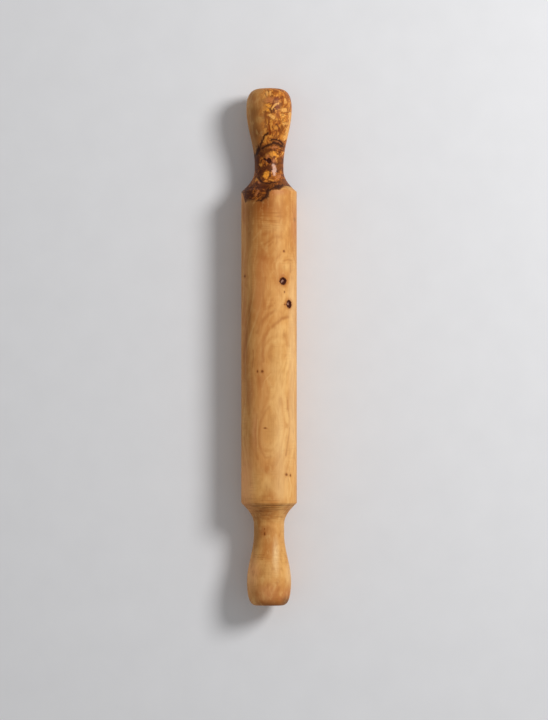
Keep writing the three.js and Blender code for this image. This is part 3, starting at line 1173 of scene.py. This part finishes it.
WOOD_ROUGHNESS = 0.42
FIBRE_ROUGHER = 0.12
BURL_SMOOTHER = 0.06
KNOT_ROUGHER = 0.35
FIBRE_RELIEF = 0.04
METAL_ROUGHER = 0.2  # from the darkest to the palest of its lines
ACETAL_ROUGHNESS = 0.45
ACETAL_ROUGHER = 0.15


def olive_wood():
    """Oiled olive wood: ringed honey-coloured wood that turns to burl near the pin's right end."""
    look = Look("olive_wood")
    where = places_in(look)
    straight, fibre = plain_wood(look, where)
    straight, knot = knotted(look, where, straight)
    burl, vein = burl_wood(look, where)
    share, edge_line = burl_share(look, where)
    colour = look.mix(share, straight, burl)
    colour = look.mix(edge_line, colour, BURL_BLACK)
    colour = look.mix(vein.rise(*VEIN_HALO_FADE), colour, WARM_BROWN)
    colour = look.mix(vein.rise(*VEIN_FADE), colour, BURL_BLACK)
    roughness = fibre * FIBRE_ROUGHER - share * BURL_SMOOTHER + knot * KNOT_ROUGHER + WOOD_ROUGHNESS
    normal = look.bump(fibre, FIBRE_RELIEF)
    return look.shade(Base_Color=colour, Roughness=roughness, Normal=normal, Specular_IOR_Level=0.12)


def lined_metal(name, dark, light, lines_along, lines_round, roughness, relief):
    """Metal with fine lines round the axis."""
    look = Look(name)
    where = places_in(look)
    place = look.vector(where.along * lines_along, where.across * lines_round, where.up * lines_round)
    lines = look.noise(place, 1.0, detail=3)
    colour = look.mix(lines, dark, light)
    rough = lines * METAL_ROUGHER + roughness
    normal = look.bump(lines, relief)
    return look.shade(Base_Color=colour, Metallic=1.0, Roughness=rough, Normal=normal)


def brushed_steel():
    return lined_metal(
        "axle_steel",
        dark=srgb(176, 178, 182),
        light=srgb(206, 208, 211),
        lines_along=9,
        lines_round=0.3,
        roughness=0.2,
        relief=0.01,
    )


def machined_brass():
    return lined_metal(
        "insert_brass",
        dark=srgb(176, 138, 66),
        light=srgb(212, 178, 98),
        lines_along=6,
        lines_round=0.5,
        roughness=0.22,
        relief=0.015,
    )


def moulded_acetal():
    look = Look("bush_acetal")
    where = places_in(look)
    grain = look.noise(where.point, size=0.7, detail=4)
    colour = look.mix(grain, srgb(226, 223, 212), srgb(240, 238, 230))
    rough = grain * ACETAL_ROUGHER + ACETAL_ROUGHNESS
    return look.shade(Base_Color=colour, Roughness=rough, Normal=look.bump(grain, distance=0.02))


def pale_floor():
    look = Look("pale_floor")
    place = look.node("ShaderNodeTexCoord", {}, output="Object")
    mottle = look.noise(place, size=0.025, detail=3)
    colour = look.mix(mottle, srgb(222, 222, 224), srgb(228, 228, 230))
    return look.shade(Base_Color=colour, Roughness=0.9)


# The object

def dress(piece, node, body, material):
    """Gives a piece its finish and puts it in a CAD node's place."""
    piece.data.materials.append(material)
    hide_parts(node)
    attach(piece, body)


def build_wood():
    wood = olive_wood()
    barrel = revolve(
        "turned_barrel",
        barrel_outline(span("barrel")),
        angles_near(KNOTS, BARREL_RADIUS),
        KNOTS,
        BARREL_RADIUS - SKIN,
    )
    dress(barrel, "barrel", "barrel", wood)

    foot, tip = span("right_handle")
    outline = [(foot + height, radius) for height, radius in handle_outline(RIGHT_END, tip - foot)]
    angles = angles_near(BURL_HOLES, RIGHT_END.neck_radius)
    right = revolve("turned_right_handle", outline, angles, BURL_HOLES, RIGHT_END.neck_radius - SKIN)
    dress(right, "right_handle", "handles", wood)

    tip, foot = span("left_handle")
    outline = [(foot - height, radius) for height, radius in handle_outline(LEFT_END, foot - tip)]
    left = revolve("turned_left_handle", outline[::-1], angles_near([], BARREL_RADIUS))
    dress(left, "left_handle", "handles", wood)


def finish_hardware():
    finishes = {
        "axle_steel": brushed_steel(),
        "insert_brass": machined_brass(),
        "bush_acetal": moulded_acetal(),
    }
    for subpart in frame["record"]["subparts"]:
        material = finishes.get(subpart["material_slot"])
        if material:
            frame["nodes"][subpart["node"]].data.materials[0] = material


# Camera, light and floor, as the photograph has them with the pin laid down, with lengths in metres

CAMERA_DISTANCE = 2.71
CAMERA_LEAN = math.radians(1.7)  # towards the plain handle
CAMERA_AIM = Vector((-10.35 * MM, -3.84 * MM, AXIS_HEIGHT * MM))
CAMERA_LENS = 175.0  # millimetres
KEY_TURN = math.radians(42)  # from straight above towards the right of the picture
KEY_LEAN = math.radians(20)  # towards the burl handle
KEY_DISTANCE = 1.6
KEY_SIZE = 0.55
KEY_POWER = 19.0
WORLD_STRENGTH = 0.36
FLOOR_SIZE = 8.0
TOWARDS_BURL = Vector((1, 0, 0))


def look_from(thing, place, target, up):
    """Places a camera or lamp and points it, with one direction upright in its picture."""
    back = (place - target).normalized()
    right = up.cross(back).normalized()
    top = back.cross(right)
    turn = Matrix((right, top, back)).transposed()
    thing.matrix_world = Matrix.Translation(place) @ turn.to_4x4()


def place_camera(scene):
    camera = bpy.data.objects.new("camera", bpy.data.cameras.new("camera"))
    camera.data.lens = CAMERA_LENS
    scene.collection.objects.link(camera)
    away = Vector((-math.sin(CAMERA_LEAN), 0, math.cos(CAMERA_LEAN)))
    look_from(camera, CAMERA_AIM + away * CAMERA_DISTANCE, CAMERA_AIM, TOWARDS_BURL)
    scene.camera = camera


def place_key(scene):
    key = bpy.data.objects.new("key", bpy.data.lights.new("key", "AREA"))
    key.data.shape = "DISK"
    key.data.size = KEY_SIZE
    key.data.energy = KEY_POWER
    scene.collection.objects.link(key)
    aside = -math.sin(KEY_TURN) * math.cos(KEY_LEAN)
    above = math.cos(KEY_TURN) * math.cos(KEY_LEAN)
    to_key = Vector((math.sin(KEY_LEAN), aside, above))
    look_from(key, to_key * KEY_DISTANCE, Vector(), TOWARDS_BURL)


def set_world(scene):
    world = bpy.data.worlds.new("studio")
    world.use_nodes = True
    background = world.node_tree.nodes["Background"]
    background.inputs["Strength"].default_value = WORLD_STRENGTH
    background.inputs["Color"].default_value = (1, 1, 1, 1)
    scene.world = world


def lay_floor(scene):
    half = FLOOR_SIZE / 2
    corners = [(-half, -half, 0), (half, -half, 0), (half, half, 0), (-half, half, 0)]
    mesh = bpy.data.meshes.new("floor")
    mesh.from_pydata(corners, [], [(0, 1, 2, 3)])
    mesh.materials.append(pale_floor())
    floor = bpy.data.objects.new("floor", mesh)
    scene.collection.objects.link(floor)


def set_stage():
    scene = bpy.context.scene
    scene.view_settings.view_transform = "Standard"
    place_camera(scene)
    place_key(scene)
    set_world(scene)
    lay_floor(scene)


set_stage()
build_wood()
finish_hardware()
